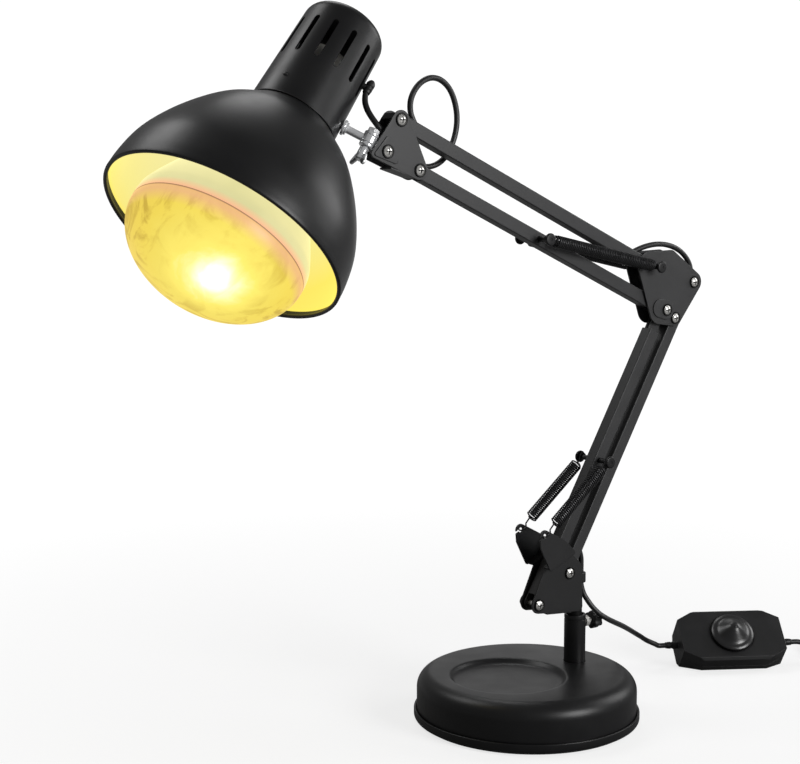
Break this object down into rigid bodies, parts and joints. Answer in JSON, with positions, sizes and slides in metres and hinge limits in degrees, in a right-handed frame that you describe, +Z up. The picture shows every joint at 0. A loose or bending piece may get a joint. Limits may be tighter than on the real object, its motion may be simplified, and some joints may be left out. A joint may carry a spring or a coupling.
{
  "type": "heat lamp",
  "caption": "Swing-arm heat lamp with a bowl shade and reflector bulb on a round weighted base, with a dimmer on the cord.",
  "frame": {"origin": "centre of the underside of the round base", "axes": "+Z up; the arms fold in the plane y = 0; +X from the base centre to the post; the head is on the -X side"},
  "size_m": [0.731, 0.1818, 0.5243],
  "materials": {
    "rubber": "matt",
    "black_paint": "satin black paint",
    "iron": "rough",
    "black_plastic": "satin moulded",
    "chrome": "polished",
    "ceramic": "glazed",
    "bulb_glass": "clear, lit warm"
  },
  "bodies": {
    "base": {"base_pad": "rubber", "base_tray": "black_paint", "base_cover": "black_paint", "base_weight": "iron", "post_tube": "black_paint", "post_nut": "chrome", "post_bush": "black_plastic", "cord_lead": "black_plastic", "dimmer_bottom": "black_plastic", "dimmer_top": "black_plastic", "cord_tail": "black_plastic", "cord_coil": "black_plastic", "plug_body": "black_plastic", "plug_blade_left": "chrome", "plug_blade_right": "chrome"},
    "dimmer_dial": {"dimmer_knob": "black_plastic"},
    "lock": {"lock_screw_shank": "chrome", "lock_knob": "black_plastic"},
    "swivel": {"lower_bracket": "black_paint", "lower_bolt_front": "chrome", "lower_bolt_rear": "chrome", "swivel_pin": "chrome", "cord_clip": "black_plastic"},
    "rear_bar": {"lower_rear_bar": "black_paint", "foot_cable": "black_plastic"},
    "front_bar": {"lower_front_bar": "black_paint", "lower_spring_pin": "black_paint", "lower_spring_near": "black_paint", "lower_spring_far": "black_paint"},
    "elbow": {"elbow_bracket": "black_paint", "elbow_bolt_front": "chrome", "elbow_bolt_rear": "chrome", "elbow_friction_screw": "chrome", "elbow_spring_pin": "black_paint", "elbow_cable": "black_plastic"},
    "top_bar": {"upper_top_bar": "black_paint"},
    "bottom_bar": {"upper_bottom_bar": "black_paint", "upper_spring_pin": "black_paint", "upper_spring_near": "black_paint", "upper_spring_far": "black_paint"},
    "wrist": {"head_bracket": "black_paint", "head_bolt_top": "chrome", "head_bolt_bottom": "chrome", "head_pivot_bolt": "chrome", "head_loop_cable": "black_plastic"},
    "knuckle": {"tilt_knuckle": "chrome", "swivel_nut": "chrome"},
    "wing": {"wing_screw": "chrome"},
    "head": {"head_stem": "chrome", "shade": "black_paint", "socket_cap": "black_paint", "lamp_socket": "ceramic", "bulb_base": "chrome", "bulb_glass": "bulb_glass", "strain_relief": "black_plastic", "head_lead_cable": "black_plastic"}
  },
  "joints": [
    {"name": "base_swivel", "type": "hinge", "parent": "base", "child": "swivel", "pos_m": [0.048, 0, 0.09], "axis": [0, 0, 1], "range_deg": [-60, 60], "deforming": ["cord_lead"]},
    {"name": "lock_screw", "type": "hinge", "parent": "base", "child": "lock", "pos_m": [0.048, 0, 0.0655], "axis": [1, 0, 0], "range_deg": [-180, 180]},
    {"name": "dimmer_turn", "type": "hinge", "parent": "base", "child": "dimmer_dial", "pos_m": [0.2268, 0.0074, 0.017], "axis": [-0.3204, -0.5572, 0.766], "range_deg": [-135, 135]},
    {"name": "lower_arm", "type": "hinge", "parent": "swivel", "child": "rear_bar", "pos_m": [0.0358, 0, 0.1079], "axis": [0, 1, 0], "range_deg": [-50, 8], "deforming": ["foot_cable"]},
    {"name": "front_bar_swing", "type": "hinge", "parent": "swivel", "child": "front_bar", "pos_m": [0.0058, 0, 0.0874], "axis": [0, 1, 0], "range_deg": [-50, 8], "deforming": ["lower_spring_near", "lower_spring_far"]},
    {"name": "elbow_level", "type": "hinge", "parent": "rear_bar", "child": "elbow", "pos_m": [0.1618, 0, 0.3242], "axis": [0, 1, 0], "range_deg": [-8, 50], "deforming": ["elbow_cable"]},
    {"name": "upper_arm", "type": "hinge", "parent": "elbow", "child": "top_bar", "pos_m": [0.1163, 0, 0.3377], "axis": [0, 1, 0], "range_deg": [-45, 22], "deforming": ["elbow_cable"]},
    {"name": "bottom_bar_swing", "type": "hinge", "parent": "elbow", "child": "bottom_bar", "pos_m": [0.1318, 0, 0.3037], "axis": [0, 1, 0], "range_deg": [-45, 22], "deforming": ["upper_spring_near", "upper_spring_far"]},
    {"name": "wrist_level", "type": "hinge", "parent": "top_bar", "child": "wrist", "pos_m": [-0.1207, 0, 0.4439], "axis": [0, 1, 0], "range_deg": [-22, 45], "deforming": ["head_loop_cable"]},
    {"name": "head_tilt", "type": "hinge", "parent": "wrist", "child": "knuckle", "pos_m": [-0.1326, 0, 0.4224], "axis": [0, 1, 0], "range_deg": [-40, 15], "deforming": ["head_lead_cable"]},
    {"name": "wing_turn", "type": "hinge", "parent": "knuckle", "child": "wing", "pos_m": [-0.14259, 0.0002, 0.42975], "axis": [0.5488, 0, 0.836], "range_deg": [-90, 90]},
    {"name": "head_swivel", "type": "hinge", "parent": "knuckle", "child": "head", "pos_m": [-0.14259, 0.0002, 0.42975], "axis": [0.5488, 0, 0.836], "range_deg": [-25, 60], "deforming": ["head_lead_cable"]}
  ],
  "couplings": [
    {"joint": "front_bar_swing", "follows": "lower_arm", "ratio": 1},
    {"joint": "elbow_level", "follows": "lower_arm", "ratio": -1},
    {"joint": "bottom_bar_swing", "follows": "upper_arm", "ratio": 1},
    {"joint": "wrist_level", "follows": "upper_arm", "ratio": -1}
  ]
}
